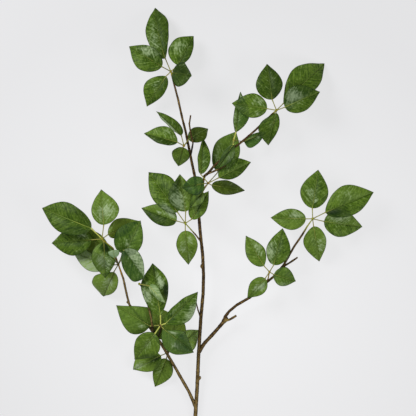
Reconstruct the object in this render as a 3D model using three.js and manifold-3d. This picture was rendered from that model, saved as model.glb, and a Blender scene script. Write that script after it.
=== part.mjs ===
// A cut schefflera leaf stem, lying flat: a woody stem with three side branches that end in whorls
// of leaflets. Millimetres, +Z up. The stem runs along +Y from its cut end. Every place below is
// given from the middle of the cut end, and the whole is centred on its own box at the end.
import * as THREE from "three";
import { mergeVertices } from "three/addons/utils/BufferGeometryUtils.js";
import Module from "manifold-3d";

const wasm = await Module();
wasm.setup();

// Wood
const LIMB_SIDES = 8;
const JOINT_GAP = 0.3; // left between pieces that touch
const HUB_RADIUS = 2.8; // the small knob where a whorl's leaflets meet
const BUD_STRETCH = 1.7; // a bud's length over its width

// Leaflets
const STALK_RADIUS = 1.0;
const STALK_STEPS = [0, 0.35, 0.7];
const BLADE_STEPS = [0.03, 0.1, 0.2, 0.32, 0.45, 0.58, 0.71, 0.83, 0.93];
const MIDRIB_THICKNESS = 1.2;
const TIP_POINT = 0.25; // how much an outline draws in close to the tip
const USUAL_SHAPE = { widest: [0.42, 0.42], base: [0.5, 0.5], full: [1.75, 1.75], bend: 0 };

const BARK = new THREE.MeshStandardMaterial({ color: 0x5f4a2c, roughness: 0.8, metalness: 0 });
const LEAF = new THREE.MeshStandardMaterial({ color: 0x46702a, roughness: 0.45, metalness: 0 });

// Limbs as lists of [x, y, z, thickness], from where each leaves its parent to its end.
const MAIN_STEM = {
  limbs: {
    trunk: [
      [-1, 0, 4.7, 9.4],
      [0, 50, 6, 8.9],
      [1, 101, 8, 8.5],
      [5, 165, 13, 8.1],
      [8, 237, 20, 7.8],
      [13, 316, 28, 7.4],
      [18, 370, 33, 7.1],
      [19, 411, 36, 6.9],
      [17, 455, 40, 6.8],
      [11, 512, 44, 6.5],
      [6, 575, 47, 6.1],
      [0, 627, 49, 5.5],
      [-7, 660, 50, 5],
      [-13, 690, 50, 4.7],
      [-20, 725, 50, 4.4],
      [-28, 757, 49, 4.1],
      [-37, 798, 48, 3.9],
      [-46, 832, 48, 3.3],
      [-53, 859, 48, 2.8],
    ],
    top_twig: [
      [-9, 676, 50, 3.5],
      [-4, 700, 84, 3.1],
      [-9, 722, 92, 2.9],
      [-12, 742, 92, 2.8],
      [-9, 761, 90, 2.8],
    ],
    stub: [
      [14, 312, 30, 3.2],
      [7, 333, 38, 3],
      [3, 349, 42, 2.8],
    ],
    centre_left_stalk: [
      [15, 482, 43, 3.4],
      [4, 497, 50, 3],
      [-11, 514, 58, 2.6],
      [-21, 525, 62, 2.5],
    ],
    upper_left_stalk: [
      [-14, 697, 50, 2.6],
      [-18, 702, 58, 2.3],
      [-24, 695, 66, 2.2],
    ],
  },
  hubs: ["crown", "centre_left", "upper_left"],
  buds: [
    [15, 430, 38, 5.8, 100],
    [10.5, 182, 14, 5.6, 70],
  ],
};

const LEFT_BRANCH = {
  limbs: {
    arm: [
      [2, 112, 9, 6.6],
      [-6, 135, 13, 6.4],
      [-14, 153, 16, 6.1],
      [-31, 183, 21, 5.9],
      [-46, 210, 26, 5.7],
      [-63, 239, 31, 5.4],
      [-77, 263, 35, 5.2],
      [-88, 277, 38, 5.1],
      [-97, 292, 41, 4.7],
      [-118, 315, 46, 4.4],
      [-144, 346, 52, 4.1],
      [-149, 365, 54, 4],
      [-157, 403, 58, 3.8],
      [-168, 435, 62, 3.3],
    ],
    inner_fork: [
      [-90, 281, 39, 4.4],
      [-92, 290, 53, 4.2],
      [-94, 301, 65, 4],
      [-96, 318, 69, 3.8],
      [-101, 340, 70, 3.6],
      [-109, 375, 70, 3.2],
      [-118, 389, 74, 2.8],
      [-122, 393, 82, 2.6],
      [-121, 393, 90, 2.4],
    ],
    far_left_stalk: [
      [-168, 435, 62, 3.1],
      [-173, 450, 60, 3],
      [-179, 470, 69, 3],
      [-199, 487, 76, 2.9],
      [-203, 491, 78, 2.9],
    ],
    lower_left_stalk: [
      [-84, 272, 36, 3.3],
      [-78, 282, 52, 2.9],
      [-75, 294, 70, 2.6],
      [-75, 302, 78, 2.6],
    ],
    low_centre_stalk: [
      [-66, 242, 31, 3],
      [-60, 239, 26, 2.6],
    ],
  },
  hubs: ["left", "far_left", "small_left", "lower_left", "low_centre"],
  buds: [[-148, 351, 53, 3.6, 140]],
};

const RIGHT_BRANCH = {
  limbs: {
    arm: [
      [9, 240, 21, 7.8],
      [22, 261, 23, 7.3],
      [38, 278, 25, 7.1],
      [52, 294, 27, 7.1],
      [64, 308, 28, 7.3],
      [67, 319, 29, 6.3],
      [76, 331, 30, 5.6],
      [93, 345, 32, 5.4],
      [121, 361, 34, 5.1],
      [157, 394, 37, 4.9],
      [173, 407, 38, 4.6],
      [195, 432, 41, 4.4],
      [218, 473, 44, 4],
      [237, 501, 46, 3.7],
      [247, 518, 48, 2.9],
      [259, 535, 50, 2.4],
    ],
    stub: [
      [66, 309, 28, 5.1],
      [78, 313, 31, 4.4],
      [91, 321, 34, 3.9],
    ],
    bare_twig: [
      [190, 427, 40, 4],
      [210, 439, 43, 3.4],
      [226, 450, 46, 3.2],
    ],
    right_stalk: [
      [152, 390, 37, 3.1],
      [161, 402, 44, 2.6],
      [164, 418, 48, 2.4],
    ],
  },
  hubs: ["right_end", "right"],
  buds: [[66, 311, 28, 10.5, 50]],
};

const UPPER_BRANCH = {
  limbs: {
    arm: [
      [8, 561, 47, 5.8],
      [13, 595, 53, 5.5],
      [21, 629, 58, 5.2],
      [29, 635, 59, 5],
      [42, 651, 60, 4.8],
      [56, 663, 59, 4.5],
      [74, 680, 56, 4.4],
      [88, 693, 54, 4.2],
      [98, 700, 53, 4.1],
      [110, 710, 52, 4],
      [132, 729, 52, 3.8],
      [155, 751, 57, 3.4],
      [179, 773, 64, 3],
    ],
    bare_twig: [
      [26, 633, 59, 3.9],
      [39, 638, 65, 3.6],
      [50, 643, 68, 3.4],
      [60, 648, 70, 3.1],
      [68, 652, 71, 2.9],
    ],
    upper_right_stalk: [
      [80, 685, 55, 2.6],
      [85, 695, 60, 2.4],
      [85, 707, 66, 2.2],
    ],
    centre_right_stalk: [
      [14, 600, 54, 2.8],
      [22, 605, 64, 2.4],
      [29, 613, 70, 2.2],
    ],
  },
  hubs: ["upper_right_end", "upper_right", "centre_right"],
  buds: [],
};

// Whorls. For each leaflet, as seen from above:
//   stalk and blade: [length, heading in degrees, counted from +X towards +Y]
//   wide: [left, right] half widths, looking from the blade's base to its tip
//   widest: how far along the blade the [left, right] widest place is
//   base: 0.5 for a [left, right] outline that is round at its base, 1 or more for a wedge
//   full: how full the [left, right] outline stays between the widest place and the tip
//   high: heights of the midrib at [base, middle, tip]
//   lift: how far the [left, right] edge stands above the midrib at the widest place
//   bend: how far the middle of the midrib bows to the left
const WHORLS = {
  crown: {
    hub: [-53, 859, 48],
    leaflets: [
      { stalk: [31, 113], blade: [118, 101.5], wide: [27, 25], widest: [0.55, 0.7], base: [0.4, 0.85],
        full: [1.5, 1.75], high: [47, 36, 0], lift: [6, 4], bend: 4 },
      { stalk: [22, 153], blade: [85, 148], wide: [31, 25], widest: [0.46, 0.46],
        high: [60, 66, 48], lift: [4, 4] },
      { stalk: [20, 42], blade: [75, 62], wide: [35, 15], widest: [0.35, 0.45], full: [3.5, 1.75],
        high: [44, 38, 24], lift: [4, 6] },
      { stalk: [5, -47], blade: [44, -12], wide: [26, 28], full: [1.4, 1.75],
        high: [58, 84, 104], lift: [6, 6] },
      { stalk: [15, -135], blade: [78, -123], wide: [17, 30], widest: [0.42, 0.5], base: [0.5, 0.7],
        high: [48, 44, 26], lift: [4, 4] },
    ],
  },
  upper_left: {
    hub: [-24, 695, 66],
    leaflets: [
      { stalk: [23, 104], blade: [77, 136], wide: [4, 16], widest: [0.42, 0.3], base: [0.5, 0.4],
        full: [1.75, 2.2], high: [66, 64, 54], lift: [16, -4] },
      { stalk: [16, 152], blade: [76, 165], wide: [13, 27], base: [0.5, 0.6],
        high: [78, 82, 66], lift: [8, -2] },
      { stalk: [4, -126], blade: [42, -105], wide: [19, 20],
        high: [62, 44, 22], lift: [4, 4] },
      { stalk: [17, 53], blade: [49, 29], wide: [17, 18], widest: [0.42, 0.58],
        high: [76, 78, 66], lift: [2, 4] },
    ],
  },
  upper_right_end: {
    hub: [179, 773, 64],
    leaflets: [
      { stalk: [25, 112], blade: [80, 98], wide: [31, 27], base: [0.5, 0.7],
        high: [66, 66, 52], lift: [4, 4] },
      { stalk: [22, 45], blade: [130, 44.5], wide: [38, 27], widest: [0.55, 0.6], base: [0.9, 0.5],
        high: [58, 48, 0], lift: [6, 4] },
      { stalk: [19, 19], blade: [85, 24], wide: [34, 25], widest: [0.42, 0.4], base: [0.5, 0.45],
        high: [74, 78, 58], lift: [2, 6] },
      { stalk: [21, 171], blade: [78, 171], wide: [25, 28],
        high: [68, 70, 60], lift: [4, 4] },
      { stalk: [6, -101], blade: [72, -103], wide: [13, 30], widest: [0.4, 0.56], base: [0.5, 0.95],
        full: [1.75, 1.9], high: [72, 70, 40], lift: [2, 4] },
    ],
  },
  upper_right: {
    hub: [85, 707, 66],
    leaflets: [
      { stalk: [19, 74], blade: [90, 83.5], wide: [9, 25], widest: [0.45, 0.45], base: [0.5, 0.8],
        full: [1.3, 1.5], high: [60, 54, 42], lift: [6, 2] },
      { stalk: [23, -5], blade: [54, 24], wide: [7, 19], widest: [0.5, 0.22], base: [0.9, 0.3],
        full: [1.75, 1.9], high: [44, 38, 30], lift: [0, 4] },
      { stalk: [10, -96], blade: [65, -124], wide: [16, 7],
        high: [76, 81, 72], lift: [-4, 8] },
    ],
  },
  centre_right: {
    hub: [29, 613, 70],
    leaflets: [
      { stalk: [26, 27], blade: [79, 26], wide: [26, 16], widest: [0.55, 0.42], base: [0.5, 0.9],
        high: [66, 60, 50], lift: [0, 4] },
      { stalk: [33, 48.5], blade: [98, 66], wide: [31, 28], widest: [0.55, 0.5],
        high: [48, 40, 32], lift: [2, 3] },
      { stalk: [9, -28], blade: [74, -9], wide: [15, 16],
        high: [68, 62, 40], lift: [6, 2] },
      { stalk: [22, -122], blade: [44, -129], wide: [14, 12],
        high: [82, 82, 74], lift: [4, 4] },
      { stalk: [9, -174], blade: [49, -169], wide: [21, 19], base: [0.3, 0.22],
        high: [88, 94, 84], lift: [4, 4] },
      { stalk: [26, 129], blade: [79, 86], wide: [8, 19], widest: [0.42, 0.45],
        high: [66, 64, 56], lift: [6, 2] },
    ],
  },
  centre_left: {
    hub: [-21, 525, 62],
    leaflets: [
      { stalk: [30, 125], blade: [109, 126], wide: [27, 34], widest: [0.5, 0.6],
        high: [58, 52, 30], lift: [4, 4] },
      { stalk: [26, 88], blade: [83, 99], wide: [32, 22],
        high: [70, 70, 58], lift: [4, 4] },
      { stalk: [20, 165], blade: [83, 160], wide: [21, 25], base: [0.4, 0.5],
        high: [50, 42, 26], lift: [4, 4] },
      { stalk: [16, -90], blade: [76, -85], wide: [24, 22],
        high: [62, 50, 20], lift: [4, 4] },
      { stalk: [17, 33], blade: [72, 59], wide: [20, 17],
        high: [64, 62, 54], lift: [4, 4] },
    ],
  },
  far_left: {
    hub: [-203, 491, 78],
    leaflets: [
      { stalk: [33, 135], blade: [118, 158], wide: [33, 33], widest: [0.5, 0.58],
        high: [84, 84, 54], lift: [4, 4] },
      { stalk: [24, -175], blade: [89, -175], wide: [31, 34], widest: [0.48, 0.36],
        high: [70, 60, 40], lift: [3, 1] },
      { stalk: [31, 83], blade: [78, 95], wide: [24, 36],
        high: [78, 74, 54], lift: [4, 4] },
      { stalk: [16, 36], blade: [72, 24.5], wide: [23, 17], base: [0.65, 0.35],
        high: [70, 60, 44], lift: [3, -3] },
      { stalk: [9, -60], blade: [78, -88.5], wide: [25, 28], base: [0.75, 0.5],
        high: [82, 78, 62], lift: [0, 3] },
    ],
  },
  left: {
    hub: [-168, 435, 62],
    leaflets: [
      { stalk: [20, -121], blade: [61, -114.5], wide: [20, 36], widest: [0.5, 0.55], base: [0.5, 0.9],
        full: [2.2, 3], high: [50, 36, 0], lift: [3, 3] },
      { stalk: [24, -171], blade: [84, 158], wide: [25, 20],
        high: [52, 46, 36], lift: [3, 3] },
      { stalk: [25, 56], blade: [83, 65], wide: [37, 25], widest: [0.4, 0.4], base: [0.33, 0.42],
        full: [2.5, 1.8], high: [66, 79, 66], lift: [3, 3] },
      { stalk: [35, 67], blade: [76, -54], wide: [23, 26], widest: [0.35, 0.6], full: [1.75, 12],
        high: [93, 98, 94], lift: [8, 4] },
      { stalk: [17, 115], blade: [17, 95], wide: [12, 12], widest: [0.75, 0.75], full: [3, 3],
        high: [95, 104, 112], lift: [-3, -3] },
    ],
  },
  lower_left: {
    hub: [-75, 302, 78],
    leaflets: [
      { stalk: [24, -173], blade: [87, 148], wide: [35, 34], widest: [0.33, 0.25], base: [0.45, 0.6],
        full: [1.75, 1.15], high: [52, 63, 62], lift: [3, 3] },
      { stalk: [22, 90], blade: [115, 99], wide: [32.5, 27], widest: [0.62, 0.6], base: [0.47, 0.8],
        full: [1.4, 1.75], high: [84, 84, 66], lift: [3, 3] },
      { stalk: [12, 22], blade: [98, 44], wide: [14.5, 31], widest: [0.3, 0.45], base: [0.35, 0.65],
        full: [3, 1.75], high: [82, 80, 62], lift: [6, 2] },
      { stalk: [22, -124], blade: [74, -128], wide: [31, 25],
        high: [78, 70, 48], lift: [3, 3] },
      { stalk: [10, -50], blade: [85, -39], wide: [23, 32], widest: [0.5, 0.42], base: [1.7, 0.65],
        full: [1, 2.4], high: [77, 66, 46], lift: [3, 3] },
    ],
  },
  small_left: {
    hub: [-121, 393, 90],
    leaflets: [
      { stalk: [22, -10], blade: [52, -46], wide: [12, 8], widest: [0.25, 0.5], base: [0.3, 0.5],
        full: [1.2, 2], high: [102, 112, 104], lift: [-4, -6] },
    ],
  },
  low_centre: {
    hub: [-60, 239, 26],
    leaflets: [
      { stalk: [17, -157], blade: [69, -153], wide: [22, 22], widest: [0.42, 0.6], full: [1.75, 2.2],
        high: [24, 22, 14], lift: [3, 3] },
      { stalk: [14, -104], blade: [69, -112], wide: [25, 18],
        high: [20, 14, 0], lift: [3, 3] },
      { stalk: [21, 40], blade: [63, 34.5], wide: [17, 29], widest: [0.5, 0.45], full: [1.75, 1.6],
        high: [18, 14, 10], lift: [3, 3] },
    ],
  },
  right_end: {
    hub: [259, 535, 50],
    leaflets: [
      { stalk: [23, 92], blade: [86, 81], wide: [32, 29],
        high: [52, 54, 40], lift: [4, 4] },
      { stalk: [31, 27], blade: [115.5, 22.5], wide: [39, 28], widest: [0.5, 0.5], base: [0.7, 0.5],
        high: [60, 64, 46], lift: [4, 4] },
      { stalk: [26, -13], blade: [88, -8], wide: [31, 29],
        high: [42, 34, 0], lift: [4, 4] },
      { stalk: [17, -82], blade: [79, -80], wide: [22, 28], base: [0.5, 0.7],
        high: [44, 38, 16], lift: [4, 4] },
      { stalk: [15, -179], blade: [77, 178], wide: [25, 21],
        high: [50, 48, 36], lift: [4, 4] },
    ],
  },
  right: {
    hub: [164, 418, 48],
    leaflets: [
      { stalk: [18, 132], blade: [77, 121], wide: [22, 20], base: [0.5, 0.8],
        high: [50, 48, 34], lift: [4, 4] },
      { stalk: [18, 59], blade: [83, 76], wide: [24, 28],
        high: [54, 54, 40], lift: [4, 4] },
      { stalk: [11, -31], blade: [51, -17], wide: [23, 19],
        high: [54, 56, 40], lift: [4, 4] },
      { stalk: [17, -124], blade: [58, -132], wide: [19, 18],
        high: [56, 54, 42], lift: [4, 4] },
    ],
  },
};

const UP = new THREE.Vector3(0, 0, 1);

const point = ([x, y, z]) => new THREE.Vector3(x, y, z);

// A step of a given length and heading, as seen from above.
function headed([length, degrees]) {
  const angle = THREE.MathUtils.degToRad(degrees);
  return new THREE.Vector3(length * Math.cos(angle), length * Math.sin(angle), 0);
}

// The directions to the left of a line and above it, for a line that runs along tangent.
function sideways(tangent) {
  const left = new THREE.Vector3().crossVectors(UP, tangent).normalize();
  const above = new THREE.Vector3().crossVectors(tangent, left).normalize();
  return { left, above };
}

// A closed skin over rings of points, each ring running left, above, right, below. The first ring
// is closed by a fan round its middle, and the last one by a fan round the given end point.
function skin(rings, end) {
  const sides = rings[0].length;
  const start = new THREE.Vector3();
  rings[0].forEach((p) => start.addScaledVector(p, 1 / sides));
  const points = [...rings.flat(), start, end];
  const startIndex = rings.length * sides;
  const endIndex = startIndex + 1;
  const faces = [];
  for (let side = 0; side < sides; side++) {
    const next = (side + 1) % sides;
    faces.push(startIndex, next, side);
    for (let ring = 0; ring < rings.length - 1; ring++) {
      const low = ring * sides;
      const high = low + sides;
      faces.push(low + side, low + next, high + side);
      faces.push(low + next, high + next, high + side);
    }
    const last = (rings.length - 1) * sides;
    faces.push(last + side, last + next, endIndex);
  }
  const geometry = new THREE.BufferGeometry();
  geometry.setAttribute("position", new THREE.Float32BufferAttribute(points.flatMap((p) => [p.x, p.y, p.z]), 3));
  geometry.setIndex(faces);
  return geometry;
}

// A round limb that tapers from station to station; swell makes it thicker all along.
function limb(stations, swell = 0) {
  const line = new THREE.CatmullRomCurve3(stations.map(point));
  const rings = stations.map((station, index) => {
    const centre = point(station);
    const { left, above } = sideways(line.getTangent(index / (stations.length - 1)));
    const radius = station[3] / 2 + swell;
    return Array.from({ length: LIMB_SIDES }, (_, side) => {
      const angle = (2 * Math.PI * side) / LIMB_SIDES;
      return centre
        .clone()
        .addScaledVector(left, radius * Math.cos(angle))
        .addScaledVector(above, radius * Math.sin(angle));
    });
  });
  return skin(rings, point(stations.at(-1)));
}

// A small round swelling: a hub, a knob or, stretched along its heading, a bud.
function swelling([x, y, z], radius, stretch = 1, degrees = 0) {
  const geometry = new THREE.SphereGeometry(radius, 8, 6);
  geometry.scale(stretch, 1, 1);
  geometry.rotateZ(THREE.MathUtils.degToRad(degrees));
  return geometry.translate(x, y, z);
}

// How wide one half of a blade is at a share of its length, where its widest place counts as 1.
function outline(along, widest, base, full) {
  if (along < widest) return Math.sin((Math.PI / 2) * (along / widest)) ** base;
  const onward = (along - widest) / (1 - widest);
  return (1 - onward ** full) * (1 - TIP_POINT * onward ** 4);
}

// A leaflet is one closed solid: a thin stalk from just off the hub, then the blade.
function leaflet(hubPlace, spec) {
  const { stalk, blade, wide, widest, base: roundness, full, high, lift, bend } = { ...USUAL_SHAPE, ...spec };
  const hub = point(hubPlace);
  const base = hub.clone().add(headed(stalk)).setZ(high[0]);
  const tip = base.clone().add(headed(blade)).setZ(high[2]);
  const middle = base.clone().add(headed([blade[0] / 2, blade[1]])).setZ(high[1]);
  middle.add(headed([bend, blade[1] + 90]));
  // The bend point of a curve that passes through base, middle and tip.
  const bow = middle.clone().multiplyScalar(2).addScaledVector(base, -0.5).addScaledVector(tip, -0.5);
  const midrib = new THREE.QuadraticBezierCurve3(base, bow, tip);

  const outward = base.clone().sub(hub).normalize();
  const root = hub.clone().addScaledVector(outward, HUB_RADIUS + JOINT_GAP);
  const rise = new THREE.LineCurve3(root, base);

  const rings = STALK_STEPS.map((share) => {
    const centre = rise.getPoint(share);
    const { left, above } = sideways(outward);
    return diamond(centre, left, above, STALK_RADIUS);
  });
  const start = sideways(midrib.getTangent(0));
  rings.push(diamond(base, start.left, start.above, STALK_RADIUS));
  for (const share of BLADE_STEPS) {
    const centre = midrib.getPoint(share);
    const { left, above } = sideways(midrib.getTangent(share));
    const edges = [left, left.clone().negate()].map((outward, side) => {
      const reach = outline(share, widest[side], roundness[side], full[side]);
      return centre
        .clone()
        .addScaledVector(outward, wide[side] * reach)
        .addScaledVector(UP, lift[side] * reach);
    });
    const half = (MIDRIB_THICKNESS / 2) * (1 - share / 2);
    rings.push([
      edges[0],
      centre.clone().addScaledVector(above, half),
      edges[1],
      centre.clone().addScaledVector(above, -half),
    ]);
  }
  return skin(rings, tip);
}

// Four points round a centre: left, above, right, below.
function diamond(centre, left, above, radius) {
  return [
    centre.clone().addScaledVector(left, radius),
    centre.clone().addScaledVector(above, radius),
    centre.clone().addScaledVector(left, -radius),
    centre.clone().addScaledVector(above, -radius),
  ];
}

function toSolid(geometry) {
  const bare = geometry.clone();
  bare.deleteAttribute("normal");
  bare.deleteAttribute("uv");
  const merged = mergeVertices(bare, 1e-3);
  return new wasm.Manifold(
    new wasm.Mesh({
      numProp: 3,
      vertProperties: merged.attributes.position.array,
      triVerts: new Uint32Array(merged.index.array),
    }),
  );
}

function toGeometry(solid) {
  const { vertProperties, triVerts } = solid.getMesh();
  const geometry = new THREE.BufferGeometry();
  geometry.setAttribute("position", new THREE.BufferAttribute(vertProperties, 3));
  geometry.setIndex(new THREE.BufferAttribute(triVerts, 1));
  return geometry;
}

// A woody piece: its limbs, hubs and buds grown together in one solid.
function wood({ limbs, hubs, buds }) {
  const pieces = [
    ...Object.values(limbs).map((stations) => limb(stations)),
    ...hubs.map((whorl) => swelling(WHORLS[whorl].hub, HUB_RADIUS)),
    ...buds.map(([x, y, z, size, heading]) => swelling([x, y, z], size / 2, BUD_STRETCH, heading)),
  ];
  return pieces.map(toSolid).reduce((sum, piece) => sum.add(piece));
}

function named(name, geometry, material) {
  const mesh = new THREE.Mesh(geometry, material);
  mesh.name = name;
  return mesh;
}

const stem = new THREE.Group();
stem.add(named("main_stem", toGeometry(wood(MAIN_STEM)), BARK));

// Each branch stops just short of the stem that carries it.
const socket = toSolid(limb(MAIN_STEM.limbs.trunk, JOINT_GAP));
const branches = { left_branch: LEFT_BRANCH, right_branch: RIGHT_BRANCH, upper_branch: UPPER_BRANCH };
for (const [name, branch] of Object.entries(branches)) {
  const parts = wood(branch).subtract(socket).decompose();
  const largest = parts.reduce((a, b) => (a.volume() > b.volume() ? a : b));
  stem.add(named(name, toGeometry(largest), BARK));
}

for (const [whorl, { hub, leaflets }] of Object.entries(WHORLS)) {
  leaflets.forEach((one, index) => {
    stem.add(named(`${whorl}_leaflet_${index + 1}`, leaflet(hub, one), LEAF));
  });
}

// The origin is the middle of the whole thing's box, on the surface it lies on.
const box = new THREE.Box3().setFromObject(stem, true);
const middle = box.getCenter(new THREE.Vector3());
stem.position.set(-middle.x, -middle.y, -box.min.z);

export default stem;
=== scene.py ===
"""A cut schefflera stem that lies on a pale studio floor, seen from straight above.

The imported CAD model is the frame. Each CAD leaflet is read back as lines (its stalk, its midrib and
its two edges) and grown into a thin veined leaf along them. Each CAD woody piece is grown into
rounded wood with bark. Three leaflets that the others hide almost wholly are in no CAD node: they
are copies of other leaflets' lines. Lengths are in millimetres, and MM turns them into Blender's
metres. X is the photo's right, Y is up along the stem, and Z is towards the viewer.
"""

import math

import bmesh
import bpy
import numpy as np
from mathutils import Matrix, Vector, noise
from mathutils.bvhtree import BVHTree


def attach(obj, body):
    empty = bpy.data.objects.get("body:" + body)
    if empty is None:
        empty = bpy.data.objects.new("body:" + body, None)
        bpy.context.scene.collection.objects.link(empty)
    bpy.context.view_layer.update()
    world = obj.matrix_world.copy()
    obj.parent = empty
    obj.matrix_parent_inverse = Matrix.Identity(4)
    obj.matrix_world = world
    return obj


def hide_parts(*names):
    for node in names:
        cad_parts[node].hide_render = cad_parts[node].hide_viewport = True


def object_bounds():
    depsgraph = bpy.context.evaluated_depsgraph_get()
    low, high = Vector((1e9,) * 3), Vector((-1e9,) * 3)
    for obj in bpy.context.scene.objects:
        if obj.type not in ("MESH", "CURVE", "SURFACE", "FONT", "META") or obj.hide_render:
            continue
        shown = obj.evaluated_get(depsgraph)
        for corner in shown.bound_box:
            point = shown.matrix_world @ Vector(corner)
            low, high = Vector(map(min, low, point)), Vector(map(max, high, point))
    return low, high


MM = 0.001
UP = Vector((0, 0, 1))
NO_LENGTH = 1e-12  # what a vector's length counts as at least, when it is divided by

# How a CAD leaflet is laid out, from its tip back to its stalk's start: rings of four points, and a
# single point at each end, where only four edges meet.
WELD = 0.002
EDGES_AT_END = 4
RIBS_ALONG_BLADE = [0.93, 0.83, 0.71, 0.58, 0.45, 0.32, 0.2, 0.1, 0.03]
STALK_RINGS = 3

# The fine leaf's blade. Each half is a sheet of columns from the midrib, at 0, to its edge, at 1.
ROW_STEP = 1.1
COLUMNS = 24
COLUMN_BUNCHING = 1.25  # above 1, the columns lie closer together at the midrib
FIRST_ROW = 0.02
LAST_ROW = 0.996
BLADE_THICKNESS = 0.5
RIM_REACH = 0.35  # how far the blade reaches past the CAD leaflet's edge
ARCH = 0.09  # how far each half bulges up, as a share of its width
ARCH_LEAN = 0.8  # below 1, the bulge is highest a little nearer to the midrib than to the edge
EDGE_CURL = 0.05  # how far the rim turns down, as a share of the half's width
EDGE_CURL_POWER = 5
RIM_WAVE = 0.9
RIM_WAVE_POWER = 3
RIM_WAVELENGTH = 34.0
RIM_WAVE_OFFSET = 1.8  # how far the right rim's wave is ahead of the left's, in radians
SWELL = 0.7  # slow unevenness of the whole blade
SWELL_SCALE = 26.0
RELIEF_AT_BASE = 0.08  # the share of the blade's length over which all relief sets in
RELIEF_AT_TIP = 0.06  # and the share over which it fades out

# Its veins
MIDRIB_DEPTH = 0.55
MIDRIB_WIDTH = 1.1
VEIN_SPACING = 7.0
VEIN_OFFSET = 0.5  # the right half's veins stand between the left half's
VEIN_DEPTH = 0.16
VEIN_POWER = 3  # the higher, the narrower the furrow of a vein
VEIN_SLANT = 0.75  # how far a side vein runs towards the tip for each millimetre outward
VEIN_CURVE = 0.012  # and how much more for each square millimetre
VEIN_START = 3.0  # how far from the midrib a side vein reaches its full depth
VEIN_END_POWER = 4  # the higher, the nearer to the edge it fades out

# What each leaflet's number adds, so that no two leaflets have the same veins and waves
VEIN_STEP = 0.37
RIM_WAVE_STEP = 2.1
NOISE_STEPS = (3.7, 1.9, 2.3)

# Its stalk, which goes on as a rib on the blade's underside
STALK_THICKNESS = 2.1
STALK_INTO_KNOB = 1.6  # how far the stalk reaches on into the knob that carries it
STALK_END_SWELLING = 0.45
STALK_END_STEEPNESS = 9  # the higher, the shorter the swelling
STALK_STEPS = 12
STALK_SIDES = 10
OFF_AXIS = (0.13, 0.21, 0.97)  # a direction that no stalk runs in, to lay its rings out by
RIB_THICKNESS = 1.4
RIB_REACH = 0.75  # how far along the blade the rib goes
RIB_STEPS = 15
RIB_END_SHARE = 0.25  # its thickness where it ends
RIB_DROP = 0.15  # how far below the blade's underside its middle lies
RIB_START_SHARE = 0.4  # the share of its depth at which it sets in

# How a leaf's looks are laid out on it
LEE = np.array([0.6, -0.8])  # which way the light runs across the plan, from the key softbox
LEE_STEEPNESS = 15  # how fast the midrib's lit side turns into its shaded one
HALVES_STEEPNESS = 4  # how fast the look of the left half turns into that of the right
PATCH_WIDENING = 2  # how much wider a soft patch is across the leaf than along it
MOST_LAYERS_MET = 8  # the most surfaces that a ray straight down is followed through

# The fine wood
WOOD_VOXEL = 0.55
SMOOTHING_ROUNDS = 10
SMOOTHING_STRENGTH = 0.6
ROOT_GAP = 0.5  # what lies closer than this to the main stem is a branch's root
ROOT_PUSH = 1.3  # how far a branch's root reaches on into the stem that carries it
ROOT_SWELLING = 0.5
ROOT_SWELLING_REACH = 6.0
SCAR_SPACING = 27.0
SCAR_SHIFT = 5.0  # how far a scar may lie from its even place
SCAR_SCRAMBLE = 7.7  # any number that shifts neighbouring scars differently
SCAR_WIDTH = 1.1
SCAR_HEIGHT = 0.32
BARK_THICKNESS = 0.3
THIN_WOOD_BARK = 0.3  # how much more the bark adds on thin wood, which the smoothing wears down
MAIN_STEM_THINS = (-100.0, 100.0)  # from where to where along Y the main stem becomes thin wood
LUMPS = [(14.0, 0.3), (4.5, 0.14), (1.7, 0.06)]  # (size, height) of the bark's unevenness
YOUNG_SMOOTHNESS = 0.8  # the share of the bark's height that young wood lacks
CUT_DEPTH = 1.0  # how much of the rounded lower end is pressed back into a flat cut
WOOD_SEED_STEP = 11.0

# How far from a whorl's middle the wood is still young, and how orange it is there, from 0 for green
YOUNG_WOOD = {
    "crown": (14, 0.4),
    "upper_left": (12, 0.7),
    "upper_right_end": (14, 0.2),
    "upper_right": (16, 0.35),
    "centre_right": (22, 1.0),
    "centre_left": (37, 0.0),
    "far_left": (60, 0.3),
    "left": (40, 0.9),
    "right_end": (45, 0.1),
    "right": (24, 0.7),
    "small_left": (20, 0.1),
}
# How much darker a branch's bark is than the main stem's at the same place along Y, or paler below 0
DARK_BARK = {"right_branch": 0.5, "upper_branch": 1.0, "left_branch": -0.8}

# Where a branch has a beige knob, as shares of its own box in X and Y
BEIGE_KNOB = {"right_branch": (0.25, 0.235)}
KNOB_REACH = 9.0
KNOB_STEEPNESS = 1.5  # above 1, the knob's middle is beige all over

# The camera looks straight down on the photo's view of the stem.
VIEW_WIDTH = 915.0  # what it sees from side to side, in the plane at height VIEW_PLANE
VIEW_PLANE = 50.0
CAMERA_RISE = 5000.0
TOP_MARGIN = 13.0  # what shows above the stem's top
SENSOR = 36.0
VIEW_DEPTH = 20000.0

# The floor, which glows a little around one place, and the light from all round
FLOOR_REACH = 6000.0
FLOOR_DROP = 0.2  # it lies this much lower, so that no surface lies in it
GLOW_MIDDLE = (0.0, -120.0, 0.0)
GLOW_REACH = (100.0, 650.0)  # from where to where the glow falls off
GLOW_STRENGTH = (0.9, 0.78)  # how strong it is up to there and beyond
WORLD_STRENGTH = 0.3

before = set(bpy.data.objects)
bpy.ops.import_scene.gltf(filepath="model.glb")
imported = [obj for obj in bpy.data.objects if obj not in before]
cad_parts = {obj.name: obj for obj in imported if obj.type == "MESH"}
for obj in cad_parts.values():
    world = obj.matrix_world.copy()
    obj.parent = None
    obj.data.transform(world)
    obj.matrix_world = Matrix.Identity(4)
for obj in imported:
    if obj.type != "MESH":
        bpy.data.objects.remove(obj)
cad_low, cad_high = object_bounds()


# Lines and skins


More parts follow.
